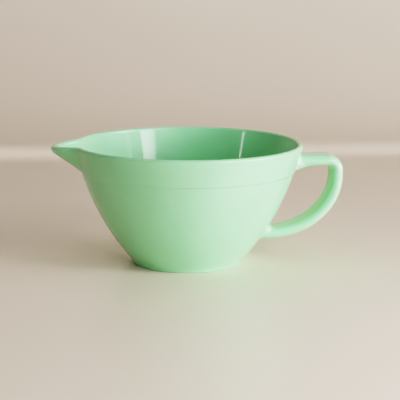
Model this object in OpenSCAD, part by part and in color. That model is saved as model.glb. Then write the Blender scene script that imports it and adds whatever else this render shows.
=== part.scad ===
// Batter bowl: a footed mixing bowl with a banded rim, a pouring spout with a round nose
// and a ribbon handle, all of opaque pressed glass.
// The bowl's axis is Z and it stands on the plane z = 0. The spout points along -X
// and the handle along +X. Its pieces meet face to face along the bowl's own edges:
// the foot, the flat floor, the curved wall, the raised band, the spout and the handle.

/* [Bowl] */
// Outer diameter across the rim
rim_d = 190; // [184:1:196]
// Height of the rim above the table
bowl_h = 100; // [96:1:104]
// Thickness of the curved wall
wall_t = 4.6; // [4.2:0.2:5.2]
// How far the wall bulges out from a straight cone
wall_bulge = 4.4; // [3:0.2:5]
// Thickness of the flat floor inside
floor_t = 5; // [4.5:0.5:6]
// Radius of the corner between the floor and the wall, inside
floor_corner_r = 16; // [12:1:20]

/* [Foot] */
// Outer diameter of the foot on the table
foot_d = 93; // [90:1:96]
// Height of the foot, which is the depth of the recess under the floor
foot_h = 3; // [2:0.5:4]
// Width of the ring that the bowl stands on
foot_ring_w = 8; // [6:1:9]

/* [Rim band] */
// Height of the raised band under the rim
band_h = 23; // [21:1:25]
// How far the band stands out from the wall at its lower edge
band_step = 1; // [0.8:0.1:1.6]
// How far the band leans out over its height
band_flare = 5.8; // [5.2:0.2:6.6]
// Thickness of the rounded rim
rim_t = 4.5; // [4:0.25:5]

/* [Pouring spout] */
// How far the tip of the spout stands out past the rim
spout_reach = 17.5; // [15:0.5:20]
// Half of the angle of the rim that the spout takes up, in degrees
spout_half_angle = 18; // [16:0.5:20]
// How far the tip dips below the rim
spout_dip = 1.5; // [0:0.25:3]
// How far the channel inside reaches past the rim's inner edge
channel_reach = 15; // [12:0.5:15]

/* [Handle] */
// Width of the ribbon, across the bowl
handle_w = 26; // [24:1:30]
// Thickness of the ribbon
handle_t = 8.6; // [7.6:0.2:9.6]
// How far the handle's outside stands out past the rim
handle_reach = 34.5; // [32:0.5:37]
// Height of the top of the upper arm above the table
handle_top = 89.2; // [87:0.2:91]
// Height of the underside of the lower arm above the table
handle_low = 19; // [18:0.5:22]
// How much wider the ribbon grows on each side where it joins the bowl
root_flare = 3; // [1:0.5:4]
// How far the web under the upper arm drops where it joins the band
web_h = 5; // [3:0.5:6]
// How far the fillet on top of the lower arm rises where it joins the wall
fillet_h = 3; // [1:0.5:4]

/* [Hidden] */
$fn = 96;

glass_pale = "#b4e1bf";
glass_mid = "#9cd6ad";
glass_deep = "#86c79a";

rim_r = rim_d / 2;
foot_r = foot_d / 2;
foot_edge_r = 1;               // rounding of the foot's lower edge
foot_lean = 1;                 // the foot is this much wider where it meets the wall
floor_top = foot_h + floor_t;
band_z = bowl_h - band_h;      // level of the band's lower edge
lip_r = rim_t / 2;             // the rim's top is a half circle of this radius
lip_z = bowl_h - lip_r;
band_low_r = rim_r - band_flare;
band_edge_r = 0.6;             // rounding of the band's lower edge
wall_top_r = band_low_r - band_step;
wall_low_r = foot_r + foot_lean;

arc_steps = 20;                // steps in a long arc of a profile
corner_steps = 8;              // steps in a small rounding of a profile
spout_steps = 32;              // sections of the spout from side to side

// The wall's outside is an arc from low to high that bulges by wall_bulge.
low = [wall_low_r, foot_h];
high = [wall_top_r, band_z];
chord = norm(high - low);
wall_r = (chord * chord / 4 + wall_bulge * wall_bulge) / (2 * wall_bulge);
outward = [high.y - low.y, low.x - high.x] / chord;
wall_centre = (low + high) / 2 - outward * (wall_r - wall_bulge);

// The wall's inside is an arc about the same centre, so the wall is even.
inner_r = wall_r - wall_t;
function wall_inner_r(z) = wall_centre.x + sqrt(pow(inner_r, 2) - pow(z - wall_centre.y, 2));

// The inner corner is an arc that touches the floor and the wall's inside.
corner_z = floor_top + floor_corner_r;
corner_x = wall_centre.x
    + sqrt(pow(inner_r - floor_corner_r, 2) - pow(corner_z - wall_centre.y, 2));
corner_a = atan2(corner_z - wall_centre.y, corner_x - wall_centre.x);

function polar(c, r, a) = c + r * [cos(a), sin(a)];
function arc(c, r, a0, a1, n) = [for (i = [0:n]) polar(c, r, a0 + (a1 - a0) * i / n)];
function angle_at(z, r) = asin((z - wall_centre.y) / r);
function mix(a, b, f) = a + (b - a) * f;

wall_outline = concat(
    arc(wall_centre, wall_r, angle_at(foot_h, wall_r), angle_at(band_z, wall_r), arc_steps),
    arc(wall_centre, inner_r, angle_at(band_z, inner_r), corner_a, arc_steps),
    arc([corner_x, corner_z], floor_corner_r, corner_a, -90, corner_steps),
    [[corner_x, foot_h]]
);

// The band's outline in two runs: the outside goes up from its lower edge to the rim,
// then the rounded rim and the inside go back down.
band_outside = concat(
    arc([band_low_r - band_edge_r, band_z + band_edge_r], band_edge_r, -90, -15, corner_steps),
    [for (i = [1:corner_steps]) mix([band_low_r, band_z + 1.5], [rim_r, lip_z], i / corner_steps)]
);
band_lip = arc([rim_r - lip_r, lip_z], lip_r, 0, 180, 2 * corner_steps);
band_inside = [for (i = [0:corner_steps])
    mix([rim_r - rim_t, lip_z], [wall_inner_r(band_z), band_z], i / corner_steps)];
band_outline = concat(
    band_outside,
    [for (i = [1:len(band_lip) - 2]) band_lip[i]],
    band_inside
);

// The spout's plan is a V with a round nose that eases into the round rim. share is 1 at
// the tip and 0 at the spout's sides; side runs from 0 at the tip to 1 at a side.
tip_round = 0.5;
side_ease = 0.65;
vee = 2 / (1 + side_ease - tip_round);
function share(side) =
    side < tip_round ? 1 - vee * side * side / (2 * tip_round)
    : side < side_ease ? 1 + vee * tip_round / 2 - vee * side
    : vee * pow(1 - side, 2) / (2 * (1 - side_ease));

// A point of the band's outline pushed out to the spout's shape. The push grows evenly
// from nothing at the band's lower edge, so the spout's keel and channel are straight, and
// the keel turns upright just below the lip to give the tip its blunt nose.
channel_low = 3;               // the channel starts this far above the band's lower edge
nose_h = 3.5;                  // the keel turns upright this far below the lip's centre
nose_soft = 0.06;
function rise(z, from) = min(1, max(0, (z - from) / (lip_z - from)));
function level_off(t) = (t + 1 - sqrt(pow(t - 1, 2) + pow(nose_soft, 2))) / 2;
keel_z = band_z + band_edge_r;
nose_share = (lip_z - keel_z) / (lip_z - nose_h - keel_z);
function keel(z) =
    min(1, max(0, level_off(rise(z, keel_z) * nose_share) / level_off(nose_share)));
function outer_push(z, side) = spout_reach * keel(z) * share(side);
function inner_push(z, side) =
    channel_reach * rise(z, band_z + channel_low) * share(min(1, side * 1.06));
function across(p) = min(1, max(0, (rim_r - p.x) / rim_t));
function pushed(p, k, side) = let (
        outside = k < len(band_outside),
        inside = k >= len(band_outline) - len(band_inside),
        f = outside ? 0 : inside ? 1 : across(p)
    )
    [p.x + mix(outer_push(p.y, side), inner_push(p.y, side), f),
     p.y - spout_dip * rise(p.y, band_z) * share(side)];

function spout_section(i) = let (turn = 2 * i / spout_steps - 1)
    [for (k = [0:len(band_outline) - 1])
        let (p = pushed(band_outline[k], k, abs(turn)), a = 180 + turn * spout_half_angle)
        [p.x * cos(a), p.x * sin(a), p.y]];

// Faces of a closed tube through sections that each have m points.
function tube_faces(n, m) = concat(
    [for (i = [0:n - 2], k = [0:m - 1])
        [i * m + k, i * m + (k + 1) % m, (i + 1) * m + (k + 1) % m, (i + 1) * m + k]],
    [[for (k = [m - 1:-1:0]) k]],
    [[for (k = [0:m - 1]) (n - 1) * m + k]]
);

module tube(sections) {
    m = len(sections[0]);
    polyhedron(
        points = [for (s = sections, p = s) p],
        faces = tube_faces(len(sections), m),
        convexity = 6
    );
}

// The handle's centre line lies in the plane y = 0: a level upper arm, a round corner, a
// short upright grip, a quarter of an ellipse, and a level lower arm that runs into the wall.
arm_z = handle_top - handle_t / 2;
low_z = handle_low + handle_t / 2;
grip_x = rim_r + handle_reach - handle_t / 2;
bend_r = 8.5;                  // radius of the corner's centre line
bend_z = arm_z - bend_r;
grip_z = bend_z - 4.5;         // the upright grip ends and the ellipse starts here
sweep_x = 67;                  // where the ellipse reaches its lowest point
upper_start = 82;              // the upper arm starts here, inside the band
lower_end = 50;                // the lower arm ends here, inside the wall
straight_steps = 10;
bend_steps = 10;
sweep_steps = 30;
lower_steps = 3;
centre_line = concat(
    [for (i = [0:straight_steps]) [mix(upper_start, grip_x - bend_r, i / straight_steps), arm_z]],
    [for (i = [1:bend_steps]) polar([grip_x - bend_r, bend_z], bend_r, 90 - 90 * i / bend_steps)],
    [for (i = [0:sweep_steps]) let (a = -90 * i / sweep_steps)
        [sweep_x + (grip_x - sweep_x) * cos(a), grip_z + (grip_z - low_z) * sin(a)]],
    [for (i = [1:lower_steps]) [mix(sweep_x, lower_end, i / lower_steps), low_z]]
);

// The ribbon widens close to the bowl, where upper_face and lower_face are the places
// where it meets it. A web grows down from the underside of the upper arm, and a fillet
// grows up from the top of the lower arm.
upper_face = 91;
lower_face = 63;
flare_length = 14;
function is_upper(p) = p.y > bend_z;
function near_bowl(p) = max(0, 1 - max(0, p.x - (is_upper(p) ? upper_face : lower_face)) / flare_length);
function flare(p) = root_flare * pow(near_bowl(p), 2);
function web(p) = (is_upper(p) ? web_h : fillet_h) * pow(near_bowl(p), 1.6);

// The ribbon's section is flat above and below and fully round at its two sides.
side_steps = 11;
function ribbon_section(p, along) = let (
        normal = [-along.y, along.x],
        half_t = (handle_t + flare(p)) / 2,
        flat = (handle_w - handle_t) / 2 + flare(p)
    )
    [for (side = [1, -1], k = [0:side_steps]) let (
            a = 180 * k / side_steps - 90,
            up = side * half_t * sin(a),
            q = p + normal * (up - web(p) * max(0, -up / half_t))
        )
        [q.x, side * (flat + half_t * cos(a)), q.y]];

function tangent(i) = let (
        n = len(centre_line) - 1,
        d = centre_line[min(n, i + 1)] - centre_line[max(0, i - 1)]
    )
    d / norm(d);

module foot_ring() {
    inside_r = foot_r - foot_ring_w;
    color(glass_deep) rotate_extrude() polygon(concat(
        [[inside_r, foot_h], [inside_r, foot_edge_r / 2], [inside_r + foot_edge_r / 2, 0]],
        arc([foot_r - foot_edge_r, foot_edge_r], foot_edge_r, -90, 0, corner_steps),
        [[wall_low_r, foot_h]]
    ));
}

module bowl_floor() {
    color(glass_mid) translate([0, 0, foot_h]) cylinder(r = corner_x, h = floor_t);
}

module bowl_wall() {
    color(glass_mid) rotate_extrude() polygon(wall_outline);
}

module rim_band() {
    color(glass_pale)
        rotate([0, 0, 180 + spout_half_angle])
        rotate_extrude(angle = 360 - 2 * spout_half_angle)
        polygon(band_outline);
}

module pouring_spout() {
    color(glass_deep) tube([for (i = [0:spout_steps]) spout_section(i)]);
}

// The space that the wall and band fill, out to their outer faces.
module bowl_outside() {
    rotate_extrude() polygon(concat(
        [[0, foot_h]],
        arc(wall_centre, wall_r, angle_at(foot_h, wall_r), angle_at(band_z, wall_r), arc_steps),
        band_outside,
        [[0, lip_z]]
    ));
}

module handle() {
    color(glass_pale) difference() {
        tube([for (i = [0:len(centre_line) - 1]) ribbon_section(centre_line[i], tangent(i))]);
        bowl_outside();
    }
}

foot_ring();
bowl_floor();
bowl_wall();
rim_band();
pouring_spout();
handle();
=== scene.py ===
import math

import bpy
import numpy as np
from mathutils import Matrix, Vector


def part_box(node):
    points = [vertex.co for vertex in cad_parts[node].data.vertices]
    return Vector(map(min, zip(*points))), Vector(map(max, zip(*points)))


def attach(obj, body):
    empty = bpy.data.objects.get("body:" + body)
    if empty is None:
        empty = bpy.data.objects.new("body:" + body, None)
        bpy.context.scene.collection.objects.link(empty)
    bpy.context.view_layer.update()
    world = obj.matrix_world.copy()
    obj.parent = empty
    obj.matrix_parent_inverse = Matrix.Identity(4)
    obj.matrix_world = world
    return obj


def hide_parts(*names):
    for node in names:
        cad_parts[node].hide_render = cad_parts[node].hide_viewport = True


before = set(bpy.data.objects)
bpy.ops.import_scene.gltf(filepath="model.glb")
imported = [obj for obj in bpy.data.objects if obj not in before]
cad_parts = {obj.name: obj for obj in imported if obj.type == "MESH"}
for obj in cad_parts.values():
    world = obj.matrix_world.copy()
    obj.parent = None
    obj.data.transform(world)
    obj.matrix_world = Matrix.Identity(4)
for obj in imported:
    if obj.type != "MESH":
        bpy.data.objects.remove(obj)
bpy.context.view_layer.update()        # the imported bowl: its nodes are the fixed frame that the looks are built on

MM = 0.001

# ---------------------------------------------------------------------------------------
# Sizes that the frame gives
# ---------------------------------------------------------------------------------------
band_low, band_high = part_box("rim_band")
floor_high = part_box("bowl_floor")[1]
foot_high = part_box("foot_ring")[1]
spout_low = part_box("pouring_spout")[0]
handle_low, handle_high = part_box("handle")

height = band_high.z                  # top of the rim
rim_r = band_high.y                   # outside of the rim
band_z = band_low.z                   # lower edge of the band
foot_h = foot_high.z                  # depth of the recess under the floor
floor_z = floor_high.z                # the flat floor inside
floor_r = floor_high.x
wall_low_r = foot_high.y              # the wall's outside where it meets the foot
spout_tip = -spout_low.x              # reach of the spout's tip from the axis
reach_x = handle_high.x               # outside of the handle's grip

# ---------------------------------------------------------------------------------------
# Sizes of the moulding's own curves. They are the design's, except that the band's lower edge,
# the foot's lower edge and the handle's fillets are drawn softer than the design has them.
# ---------------------------------------------------------------------------------------
wall_t = 4.6 * MM
wall_bulge = 4.4 * MM
floor_corner_r = 16 * MM
rim_t = 4.5 * MM
band_step = 1 * MM
band_flare = 5.8 * MM
band_edge_r = 0.6 * MM
band_edge_h = 1.0 * MM           # the band's lower edge is drawn as a soft step this high
band_base_h = 1.5 * MM           # the design's straight flare starts this far above the edge
foot_edge_r = 1.6 * MM
foot_edge_end = -0.2             # angle, in radians, where the foot's rounding gives way to its lean
recess_edge_r = 0.5 * MM
foot_ring_w = 8 * MM
foot_lean = 1 * MM
spout_half_angle = math.radians(18)
spout_dip = 1.5 * MM
channel_reach = 15 * MM
handle_w = 26 * MM
handle_t = 8.6 * MM
grip_h = 4.5 * MM                # the upright stretch between the corner and the ellipse
root_flare = 3 * MM
crown_h = 0.35 * MM

lip_r = rim_t / 2
lip_z = height - lip_r
spout_reach = spout_tip - rim_r
band_low_r = rim_r - band_flare
wall_top_r = band_low_r - band_step
foot_r = wall_low_r - foot_lean


# ---------------------------------------------------------------------------------------
# Small tools for curves
# ---------------------------------------------------------------------------------------
def arc(centre, radius, start, end, steps):
    """Points of an arc in the profile plane, with its angles in radians."""
    a = np.linspace(start, end, steps + 1)
    return np.stack([centre[0] + radius * np.cos(a), centre[1] + radius * np.sin(a)], 1)


def line(start, end, steps):
    f = np.linspace(0, 1, steps + 1)[:, None]
    return np.array(start) * (1 - f) + np.array(end) * f


def tangents(points):
    """Directions along a polyline whose points are unevenly spaced."""
    s = np.concatenate([[0], np.cumsum(np.linalg.norm(np.diff(points, axis=0), axis=1))])
    return np.gradient(points, s, axis=0)


def unit(v):
    return v / np.maximum(np.linalg.norm(v, axis=-1, keepdims=True), 1e-12)


# ---------------------------------------------------------------------------------------
# The bowl's profile, from the middle of the underside, out over the rim and back to the
# middle of the floor. Each point is (radius, height, depth into the glass), where depth is
# 0 on the outside and 1 on the inside, and it runs from 0 to 1 over the rim.
# ---------------------------------------------------------------------------------------
low = np.array([wall_low_r, foot_h])
high = np.array([wall_top_r, band_z])
chord = np.linalg.norm(high - low)
wall_curve_r = (chord**2 / 4 + wall_bulge**2) / (2 * wall_bulge)
outward = np.array([high[1] - low[1], low[0] - high[0]]) / chord
wall_centre = (low + high) / 2 - outward * (wall_curve_r - wall_bulge)
inner_curve_r = wall_curve_r - wall_t
corner_centre = np.array([floor_r, floor_z + floor_corner_r])
corner_start = math.atan2(*(corner_centre - wall_centre)[::-1])


def wall_angle(z, radius):
    return math.asin((z - wall_centre[1]) / radius)


def inner_wall_r(z):
    return wall_centre[0] + math.sqrt(inner_curve_r**2 - (z - wall_centre[1]) ** 2)


def with_depth(points, depth):
    return np.column_stack([points, np.broadcast_to(depth, len(points))])


def soft_step(wall_slope):
    """The band's lower edge: a smooth step out from the wall to the band's flare."""
    band_slope = band_flare / (lip_z - band_z - band_base_h)
    end_r = band_low_r + band_slope * (band_edge_h - band_base_h)
    t = np.linspace(0, 1, 13)
    r = ((2 * t**3 - 3 * t**2 + 1) * wall_top_r + (t**3 - 2 * t**2 + t) * band_edge_h * wall_slope
         + (-2 * t**3 + 3 * t**2) * end_r + (t**3 - t**2) * band_edge_h * band_slope)
    return np.stack([r, band_z + band_edge_h * t], 1)


def profile_runs():
    """The profile's runs by name, each starting where the last one ends."""
    ring_in = foot_r - foot_ring_w
    outer_low = wall_angle(foot_h, wall_curve_r)
    outer_high = wall_angle(band_z, wall_curve_r)
    inner_high = wall_angle(band_z, inner_curve_r)
    quarter = math.pi / 2
    edge = recess_edge_r
    lean_low = (foot_r - 0.01 * MM, 0.85 * foot_edge_r)
    ring = np.concatenate([
        arc((ring_in - edge, foot_h - edge), edge, quarter, 0, 5)[:-1],
        arc((ring_in + edge, edge), edge, math.pi, 3 * quarter, 5)[:-1],
        line((ring_in + edge, 0), (foot_r - foot_edge_r, 0), 4)[:-1],
        arc((foot_r - foot_edge_r, foot_edge_r), foot_edge_r, -quarter, foot_edge_end,
            8)[:-1],
        line(lean_low, (wall_low_r, foot_h), 4),
    ])
    outside = arc(wall_centre, wall_curve_r, outer_low, outer_high, 48)
    step = soft_step(-math.tan(outer_high))
    band = line(step[-1], (rim_r, lip_z), 16)
    lip = arc((rim_r - lip_r, lip_z), lip_r, 0, math.pi, 20)
    band_in = line((rim_r - rim_t, lip_z), (inner_wall_r(band_z), band_z), 16)
    inside = arc(wall_centre, inner_curve_r, inner_high, corner_start, 44)
    corner = arc(corner_centre, floor_corner_r, corner_start, -quarter, 14)
    floor = line((floor_r, floor_z), (0, floor_z), 12)
    over = 0.5 - 0.5 * np.cos(np.linspace(0, math.pi, len(lip)))
    return {
        "under": with_depth(line((0, foot_h), (floor_r, foot_h), 12), 0),
        "recess": with_depth(line((floor_r, foot_h), ring[0], 1), 0),
        "ring": with_depth(ring, 0),
        "outside": with_depth(outside, 0),
        "band": with_depth(np.concatenate([step[:-1], band]), 0),
        "lip": with_depth(lip, over),
        "band_in": with_depth(band_in, 1),
        "inside": with_depth(np.concatenate([inside[:-1], corner]), 1),
        "floor": with_depth(floor, 1),
    }


runs = profile_runs()
profile, span = [], {}
for run_name, run in runs.items():
    first = sum(len(p) for p in profile)
    profile.append(run if not profile else run[1:])
    span[run_name] = (max(0, first - 1), first + len(profile[-1]) - 1)
profile = np.concatenate(profile)
profile_along = tangents(profile)


# ---------------------------------------------------------------------------------------
# The spout: the profile is pushed out over a stretch of the rim. Seen from above the stretch
# is a V with a round tip and eased ends. Inside, a channel runs down the band's inner face and
# ends above the wall.
# ---------------------------------------------------------------------------------------
tip_round = 0.5
side_ease = 0.65
channel_low = 3 * MM
channel_soft = 0.15              # the channel's foot is softer than the outside's
channel_narrow = 1.06            # and the channel is narrower than the outside by this ratio
nose_h = 3.5 * MM


def share(side):
    """1 at the spout's tip, 0 at its sides, straight between a rounded tip and eased ends."""
    vee = 2 / (1 + side_ease - tip_round)
    tip = 1 - vee * side**2 / (2 * tip_round)
    straight = 1 + vee * tip_round / 2 - vee * side
    ease = vee * (1 - side) ** 2 / (2 * (1 - side_ease))
    return np.where(side < tip_round, tip, np.where(side < side_ease, straight, ease))


def rise(z, start, soft=0.02):
    """0 at start and 1 at the rim, almost straight, with a softened foot."""
    t = np.clip((z - start) / (lip_z - start), 0, 1)
    return (np.sqrt(t * t + soft * soft) - soft) / (math.sqrt(1 + soft * soft) - soft)


def keel(z, soft=0.06):
    """The outer push: straight up the keel, then upright for the nose below the lip."""
    start = band_z + band_edge_r
    full = (lip_z - start) / (lip_z - nose_h - start)
    t = rise(z, start) * full
    top = (full + 1 - math.sqrt((full - 1) ** 2 + soft * soft)) / 2
    return np.clip((t + 1 - np.sqrt((t - 1) ** 2 + soft * soft)) / 2 / top, 0, 1)


def on_bowl(points, angle):
    """Points of the profile at an angle about the axis: shapes (..., 3) and (...)."""
    r, z, depth = points[..., 0], points[..., 1], points[..., 2]
    away = np.abs((angle % (2 * math.pi)) - math.pi) / spout_half_angle
    side = np.minimum(away, 1)
    inner_side = np.minimum(away * channel_narrow, 1)
    out = spout_reach * keel(z) * share(side)
    into = channel_reach * rise(z, band_z + channel_low, channel_soft) * share(inner_side)
    r = r + out * (1 - depth) + into * depth
    z = z - spout_dip * rise(z, band_z) * share(side)
    return np.stack([r * np.cos(angle), r * np.sin(angle), z], -1)


def bowl_grid(points, along, angles):
    """Positions and normals of the profile's points at every angle."""
    p, t, a = points[:, None, :], along[:, None, :], angles[None, :]
    step = 0.02 * MM
    turn = 0.0002
    nearly_zero = 1e-6
    position = on_bowl(p, a)
    up = on_bowl(p + t * step, a) - on_bowl(p - t * step, a)
    round_ = on_bowl(p, a + turn) - on_bowl(p, a - turn)
    normal = unit(np.cross(round_, up))
    on_axis = points[:, 0] < nearly_zero
    normal[on_axis] = [0, 0, 1]
    normal[on_axis & (points[:, 1] < floor_z - nearly_zero)] = [0, 0, -1]
    return position, normal


# ---------------------------------------------------------------------------------------
# Meshes from grids
# ---------------------------------------------------------------------------------------
def make_piece(name, vertices, faces, normals, nodes):
    """A mesh object with its own normals that stands for the named CAD nodes."""
    mesh = bpy.data.meshes.new(name)
    mesh.from_pydata([tuple(v) for v in vertices], [], faces)
    mesh.validate()
    mesh.shade_smooth()
    mesh.normals_split_custom_set_from_vertices([tuple(n) for n in normals])
    piece = bpy.data.objects.new(name, mesh)
    bpy.context.scene.collection.objects.link(piece)
    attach(piece, "root")
    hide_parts(*nodes)
    return piece


def grid_faces(rows, columns, wrap_rows, wrap_columns):
    """Quads of a grid of vertices, counted row by row."""
    faces = []
    for i in range(rows if wrap_rows else rows - 1):
        for j in range(columns if wrap_columns else columns - 1):
            a, b = i * columns, ((i + 1) % rows) * columns
            k = (j + 1) % columns
            faces.append((a + j, a + k, b + k, b + j))
    return faces


def profile_loop(*names):
    """The profile points and their directions for a piece whose section has these runs."""
    rows = np.concatenate([np.arange(span[n][0], span[n][1] + 1) for n in names])
    keep = np.concatenate([[True], np.diff(rows) != 0])
    rows = rows[keep]
    return profile[rows], profile_along[rows]


turn_steps, spout_steps, band_steps = 336, 80, 300
spout_start, spout_end = math.pi - spout_half_angle, math.pi + spout_half_angle
whole_turn = np.linspace(math.pi, 3 * math.pi, turn_steps + 1)[:-1]
spout_turn = np.linspace(spout_start, spout_end, spout_steps + 1)
band_turn = np.linspace(spout_end, 3 * math.pi - spout_half_angle, band_steps + 1)


def round_piece(name, names):
    """A ring all the way round the axis: its section is a closed loop."""
    position, normal = bowl_grid(*profile_loop(*names), whole_turn)
    rows, columns = position.shape[:2]
    faces = grid_faces(rows, columns, True, True)
    return make_piece(name, position.reshape(-1, 3), faces, normal.reshape(-1, 3), [name])


def open_piece(name, names, angles):
    """A stretch of ring that ends in two flat faces."""
    position, normal = bowl_grid(*profile_loop(*names), angles)
    rows, columns = position.shape[:2]
    faces = grid_faces(rows, columns, True, False)
    faces.append([i * columns for i in range(rows)])
    faces.append([i * columns + columns - 1 for i in reversed(range(rows))])
    return make_piece(name, position.reshape(-1, 3), faces, normal.reshape(-1, 3), [name])


def floor_piece():
    """The flat disc between the recess and the inside, closed by its own rim."""
    under = list(range(1, span["under"][1] + 1))
    top = list(range(*span["floor"]))
    loop = under + top
    position, normal = bowl_grid(profile[loop], profile_along[loop], whole_turn)
    rows, columns = position.shape[:2]
    vertices = list(position.reshape(-1, 3)) + [(0, 0, foot_h), (0, 0, floor_z)]
    normals = list(normal.reshape(-1, 3)) + [(0, 0, -1), (0, 0, 1)]
    faces = grid_faces(rows, columns, False, True)
    bottom, summit = rows * columns, rows * columns + 1
    last = (rows - 1) * columns
    for j in range(columns):
        k = (j + 1) % columns
        faces.append((bottom, k, j))
        faces.append((summit, last + j, last + k))
    return make_piece("bowl_floor", vertices, faces, normals, ["bowl_floor"])


# ---------------------------------------------------------------------------------------
# The handle: a ribbon swept along a level arm, a round corner, a short upright grip, a
# quarter ellipse and a level lower arm. It grows out of the bowl at both ends with fillets.
# ---------------------------------------------------------------------------------------
bend_r = 8.5 * MM
sweep_x = 67 * MM
arm_z = handle_high.z - (root_flare + handle_t) / 2
low_arm_z = handle_low.z + (root_flare + handle_t) / 2
bend_z = arm_z - bend_r
grip_low_z = bend_z - grip_h
grip_x = reach_x - handle_t / 2 - crown_h
upper_straight_x = 108 * MM
lower_straight_x = 82 * MM
root_sink = 0.3 * MM             # each root starts this deep in the wall, so no seam shows
step_ease_h = 5 * MM             # the band's step is eased this far up and down at the root

# The fillets' sizes in millimetres: all round the arm, and what is added where it faces down
upper_fillet_length = (3, 11)
upper_fillet_height = (2.5, 4.3)
lower_fillet_length = (2.5, 4.5)
lower_fillet_height = (1.5, 5.5)


def centre_line():
    """The middle of the ribbon from the end of the upper arm to the start of the lower arm."""
    down = np.linspace(0, -math.pi / 2, 72)
    sweep = np.stack([sweep_x + (grip_x - sweep_x) * np.cos(down),
                      grip_low_z + (grip_low_z - low_arm_z) * np.sin(down)], 1)
    sweep = sweep[sweep[:, 0] > lower_straight_x]
    return np.concatenate([
        line((upper_straight_x, arm_z), (grip_x - bend_r, arm_z), 6)[:-1],
        arc((grip_x - bend_r, bend_z), bend_r, math.pi / 2, 0, 16)[:-1],
        line((grip_x, bend_z), (grip_x, grip_low_z), 4)[:-1],
        sweep,
    ])


def ribbon_section():
    """The ribbon's section as (across, out) with its outward directions: flat faces with a
    slight crown between two round sides."""
    half_flat = handle_w / 2 - handle_t / 2
    side = np.linspace(-math.pi / 2, math.pi / 2, 25)
    right = np.stack([half_flat + handle_t / 2 * np.cos(side), handle_t / 2 * np.sin(side)], 1)
    face = line((half_flat, handle_t / 2), (-half_flat, handle_t / 2), 12)[1:-1]
    half = np.concatenate([right, face])
    section = np.concatenate([half, -half])
    crown = crown_h * (1 - (section[:, 0] / half_flat) ** 2).clip(0)
    outward = np.concatenate([
        np.stack([np.cos(side), np.sin(side)], 1), np.tile([0.0, 1.0], (len(face), 1))])
    outward = np.concatenate([outward, -outward])
    section[:, 1] += crown * np.sign(section[:, 1])
    return section, outward


def outside_r(z):
    """The radius of the bowl's outside at a height: the wall, and the band above it."""
    rows = profile[span["outside"][0]:span["band"][1] + 1]
    return np.interp(z, rows[:, 1], rows[:, 0])


def eased_r(z):
    """The radius of the bowl's outside with the band's step drawn out to a straight slope."""
    below, above = band_z - step_ease_h, band_z + step_ease_h
    slope = (outside_r(above) - outside_r(below)) / (above - below)
    straight = outside_r(below) + slope * (z - below)
    return np.where((z > below) & (z < above), straight, outside_r(z))


def bowl_x(y, z, eased):
    """Where a line along X at (y, z) meets the bowl's outside on the handle's side."""
    r = outside_r(z) * (1 - eased) + eased_r(z) * eased
    return np.sqrt(np.maximum(r**2 - y**2, 0))


def bowl_normal(points):
    """The outward direction of the bowl's outside at points on it, eased over the step."""
    step = 2.5 * MM
    z = points[:, 2]
    slope = (outside_r(z + step) - outside_r(z - step)) / (2 * step)
    radial = unit(points * [1, 1, 0])
    return unit(radial - np.outer(slope, [0, 0, 1]))


def root_rings(y, z, y_out, z_out, deep, high_up, web=0.0, steps=16):
    """Rings of a fillet that leaves the bowl's face and turns along the arm. (y, z) is the
    arm's section, (y_out, z_out) its outward direction, deep the fillet's length along the
    arm and high_up its height off the arm. Where web is 1 the fillet is a straighter web."""
    web_lift, web_run = 0.42, 0.3
    rings = []
    for a in np.linspace(math.pi / 2, 0, steps):
        off = high_up * (1 - math.cos(a)) ** (1 - web_lift * web)
        ry, rz = y + y_out * off, z + z_out * off
        along = deep * (1 - math.sin(a)) ** (1 + web_run * web)
        eased = min(1, 2 * (1 - a / (math.pi / 2)))
        rings.append(np.stack([bowl_x(ry, rz, eased) + along, ry, rz], 1))
    rings[0][:, 0] -= root_sink
    return rings


def fillet_size(size, below):
    """A fillet's size round the arm, in metres: below is 1 where the section faces down."""
    return (size[0] + size[1] * below) * MM


def handle_rings():
    """The rings of the upper root, of the ribbon between the roots, and of the lower root."""
    section, outward = ribbon_section()
    across, out = section.T
    line_points = centre_line()
    along = unit(tangents(line_points))
    side = np.stack([-along[:, 1], along[:, 0]], 1)
    middle = [np.stack([p[0] + n[0] * out, across, p[1] + n[1] * out], 1)
              for p, n in zip(line_points, side)]
    below = np.clip(-outward[:, 1], 0, 1)
    upper = root_rings(across, arm_z + out, outward[:, 0], outward[:, 1],
                       fillet_size(upper_fillet_length, below),
                       fillet_size(upper_fillet_height, below), below)
    # The lower arm runs level towards the axis, so its section's inside faces up.
    lower = root_rings(across, low_arm_z - out, outward[:, 0], -outward[:, 1],
                       fillet_size(lower_fillet_length, below),
                       fillet_size(lower_fillet_height, below))[::-1]
    return upper, middle, lower


def smooth_joint(start, end, start_along, end_along, steps):
    """Rings between two rings on a curve that leaves and arrives in the given directions."""
    gap = np.linalg.norm(end - start, axis=1, keepdims=True)
    rings = []
    for t in np.linspace(0, 1, steps + 2)[1:-1]:
        h00, h10 = 2 * t**3 - 3 * t**2 + 1, t**3 - 2 * t**2 + t
        h01, h11 = -2 * t**3 + 3 * t**2, t**3 - t**2
        rings.append(h00 * start + h10 * gap * start_along
                     + h01 * end + h11 * gap * end_along)
    return rings


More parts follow.
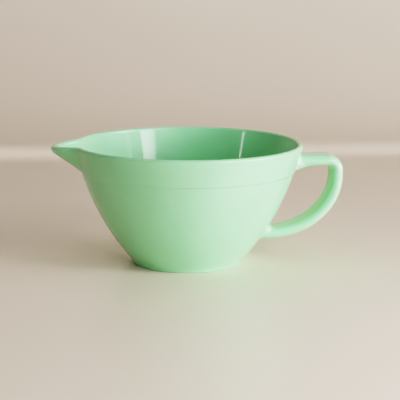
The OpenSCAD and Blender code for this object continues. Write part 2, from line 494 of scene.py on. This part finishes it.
def handle_piece():
    """The whole handle: its rings joined into one skin with a flat face at each root."""
    upper, middle, lower = handle_rings()
    level = np.array([1.0, 0, 0])
    line_points = centre_line()
    arrive = unit(tangents(line_points))[-1]
    arrive = np.array([arrive[0], 0, arrive[1]])
    rings = (upper + smooth_joint(upper[-1], middle[0], level, level, 10) + middle
             + smooth_joint(middle[-1], lower[0], arrive, -level, 10) + lower)
    position = np.stack(rings)
    along = np.gradient(position, axis=0)
    round_ = np.roll(position, -1, axis=1) - np.roll(position, 1, axis=1)
    normal = unit(np.cross(round_, along))
    normal[0] = bowl_normal(position[0])
    normal[-1] = bowl_normal(position[-1])
    rows, columns = position.shape[:2]
    faces = grid_faces(rows, columns, False, True)
    faces.append(list(reversed(range(columns))))
    faces.append([(rows - 1) * columns + j for j in range(columns)])
    return make_piece("handle", position.reshape(-1, 3), faces, normal.reshape(-1, 3),
                      ["handle"])


# ---------------------------------------------------------------------------------------
# Materials
# ---------------------------------------------------------------------------------------
def new_material(name):
    material = bpy.data.materials.new(name)
    material.use_nodes = True
    tree = material.node_tree
    shader = next(n for n in tree.nodes if n.type == "BSDF_PRINCIPLED")
    return material, tree, shader


def node(tree, kind, **inputs):
    """A shader node with its inputs set: a value, or a socket to link."""
    made = tree.nodes.new(kind)
    for key, value in inputs.items():
        if isinstance(value, bpy.types.NodeSocket):
            tree.links.new(value, made.inputs[key])
        else:
            made.inputs[key].default_value = value
    return made


def ramp(tree, value, *stops):
    """A colour ramp over (position, grey or colour) stops."""
    made = node(tree, "ShaderNodeValToRGB", Fac=value)
    cells = made.color_ramp.elements
    for i, (place, colour) in enumerate(stops):
        cell = cells[i] if i < 2 else cells.new(place)
        cell.position = place
        cell.color = (*colour, 1) if hasattr(colour, "__len__") else (colour,) * 3 + (1,)
    return made.outputs["Color"]


glass_colour = (0.305, 0.72, 0.385)        # chosen under the view transform set at the end


def glass_material():
    """Opaque green pressed glass: milky swirls, a fire-polished skin that waves a little."""
    material, tree, shader = new_material("green_glass")
    place = node(tree, "ShaderNodeTexCoord").outputs["Object"]
    swirl = node(tree, "ShaderNodeTexNoise", Vector=place, Scale=14.0, Detail=3.0,
                 Roughness=0.5, Distortion=1.2).outputs["Fac"]
    pale = tuple(min(1, c * 1.04) for c in glass_colour)
    deep = tuple(c * 0.96 for c in glass_colour)
    tree.links.new(ramp(tree, swirl, (0.35, deep), (0.65, pale)),
                   shader.inputs["Base Color"])
    haze = node(tree, "ShaderNodeTexNoise", Vector=place, Scale=60.0, Detail=4.0)
    tree.links.new(ramp(tree, haze.outputs["Fac"], (0.4, 0.07), (0.7, 0.11)),
                   shader.inputs["Coat Roughness"])
    wave = node(tree, "ShaderNodeTexNoise", Vector=place, Scale=22.0, Detail=1.0)
    bump = node(tree, "ShaderNodeBump", Strength=0.06, Distance=0.002,
                Height=wave.outputs["Fac"])
    tree.links.new(bump.outputs["Normal"], shader.inputs["Normal"])
    tree.links.new(bump.outputs["Normal"], shader.inputs["Coat Normal"])
    shader.inputs["Roughness"].default_value = 0.5
    shader.inputs["IOR"].default_value = 1.5
    shader.inputs["Coat Weight"].default_value = 1.0
    shader.inputs["Coat IOR"].default_value = 1.45
    return material


floor_colour = (0.80, 0.68, 0.57)


def floor_material():
    """A pale, smooth, slightly glossy paper sweep."""
    material, tree, shader = new_material("paper_sweep")
    place = node(tree, "ShaderNodeTexCoord").outputs["Object"]
    grain = node(tree, "ShaderNodeTexNoise", Vector=place, Scale=3.0, Detail=2.0)
    pale = tuple(c * 1.01 for c in floor_colour)
    deep = tuple(c * 0.99 for c in floor_colour)
    tree.links.new(ramp(tree, grain.outputs["Fac"], (0.3, deep), (0.7, pale)),
                   shader.inputs["Base Color"])
    shader.inputs["Roughness"].default_value = 0.35
    return material


# ---------------------------------------------------------------------------------------
# The studio: a sweep, soft lights and the camera
# ---------------------------------------------------------------------------------------
def sweep_piece():
    """One sheet that lies flat, curves up behind the bowl and ends as a wall."""
    wide, front, back, curve, top = 4.0, -2.5, 0.62, 0.5, 2.5
    run = np.concatenate([
        line((front, 0), (back, 0), 8)[:-1],
        arc((back, curve), curve, -math.pi / 2, 0, 24)[:-1],
        line((back + curve, curve), (back + curve, top), 4),
    ])
    xs = np.linspace(-wide, wide, 9)
    vertices = [(x, y, z) for y, z in run for x in xs]
    mesh = bpy.data.meshes.new("sweep")
    mesh.from_pydata(vertices, [], grid_faces(len(run), len(xs), False, False))
    mesh.shade_smooth()
    mesh.materials.append(floor_material())
    sweep = bpy.data.objects.new("sweep", mesh)
    bpy.context.scene.collection.objects.link(sweep)


def area_light(name, place, target, size, watts):
    """A rectangular white light at a place, aimed at a target."""
    light = bpy.data.lights.new(name, "AREA")
    light.shape = "RECTANGLE"
    light.size, light.size_y = size
    light.energy = watts
    lamp = bpy.data.objects.new(name, light)
    aim = (Vector(target) - Vector(place)).to_track_quat("-Z", "Y")
    lamp.matrix_world = Matrix.Translation(place) @ aim.to_matrix().to_4x4()
    bpy.context.scene.collection.objects.link(lamp)
    return lamp


def studio_light():
    """A wide soft window low on the right and round to the front, and weaker fills."""
    world = bpy.data.worlds.new("studio")
    world.use_nodes = True
    background = world.node_tree.nodes["Background"]
    background.inputs["Color"].default_value = (0.9, 0.87, 0.83, 1)
    background.inputs["Strength"].default_value = 0.05
    bpy.context.scene.world = world
    bowl = (0, 0, 0.05)
    area_light("window_right", (1.5, -0.5, 0.22), bowl, (0.9, 0.4), 23.5)
    area_light("window_corner", (1.25, -0.95, 0.3), bowl, (1.2, 0.6), 5.5)
    area_light("window_front", (0.9, -1.25, 0.2), bowl, (0.9, 0.4), 6)
    area_light("near_fill", (0.5, -0.85, 0.25), bowl, (0.35, 0.3), 2.3)
    area_light("top", (0.2, 0.3, 1.5), (0, 0.2, 0), (0.9, 0.8), 2.2)
    area_light("back_left", (-1.1, 0.6, 0.8), bowl, (0.6, 0.6), 0.5)
    area_light("left_high", (-0.7, 0, 1.25), bowl, (0.5, 0.5), 1.1)
    area_light("left_strip", (-1.32, -0.36, 0.45), bowl, (0.045, 0.9), 1.3)
    area_light("right_strip", (1.4, -0.5, 0.5), bowl, (0.05, 0.7), 0.6)
    area_light("front_card", (0.27, -1.1, 0.27), bowl, (0.09, 0.09), 0.5)
    pool = area_light("floor_pool", (0.75, -0.75, 0.6), (0.35, -0.5, 0), (0.3, 0.3), 1.6)
    pool.data.spread = math.radians(70)
    glow = area_light("horizon_glow", (0, 0.57, 0.42), (0, 0.58, 0), (3.0, 0.03), 0.3)
    glow.data.spread = math.radians(22)


def photo_camera():
    """The camera stands in front of the bowl, turned so that the spout comes forward."""
    turn = math.radians(6.5)
    pitch = math.radians(11.313)
    roll = math.radians(0.354)
    away, up, aside = 0.9816, 0.2475, 0.0103
    camera = bpy.data.cameras.new("camera")
    camera.lens = 108
    camera.sensor_width = 36
    camera.clip_end = 50
    holder = bpy.data.objects.new("camera", camera)
    place = Matrix.Rotation(-turn, 4, "Z") @ Vector((aside, -away, up))
    holder.matrix_world = (Matrix.Translation(place) @ Matrix.Rotation(-turn, 4, "Z")
                           @ Matrix.Rotation(math.pi / 2 - pitch, 4, "X")
                           @ Matrix.Rotation(roll, 4, "Z"))
    bpy.context.scene.collection.objects.link(holder)
    bpy.context.scene.camera = holder


# ---------------------------------------------------------------------------------------
# Making it all
# ---------------------------------------------------------------------------------------
glass = glass_material()
bowl_pieces = [
    round_piece("foot_ring", ["ring"]),
    floor_piece(),
    round_piece("bowl_wall", ["recess", "outside", "inside"]),
    open_piece("rim_band", ["band", "lip", "band_in"], band_turn),
    open_piece("pouring_spout", ["band", "lip", "band_in"], spout_turn),
    handle_piece(),
]
for piece in bowl_pieces:
    piece.data.materials.append(glass)

sweep_piece()
studio_light()
photo_camera()
bpy.context.scene.view_settings.view_transform = "Filmic"
bpy.context.scene.view_settings.look = "Very High Contrast"
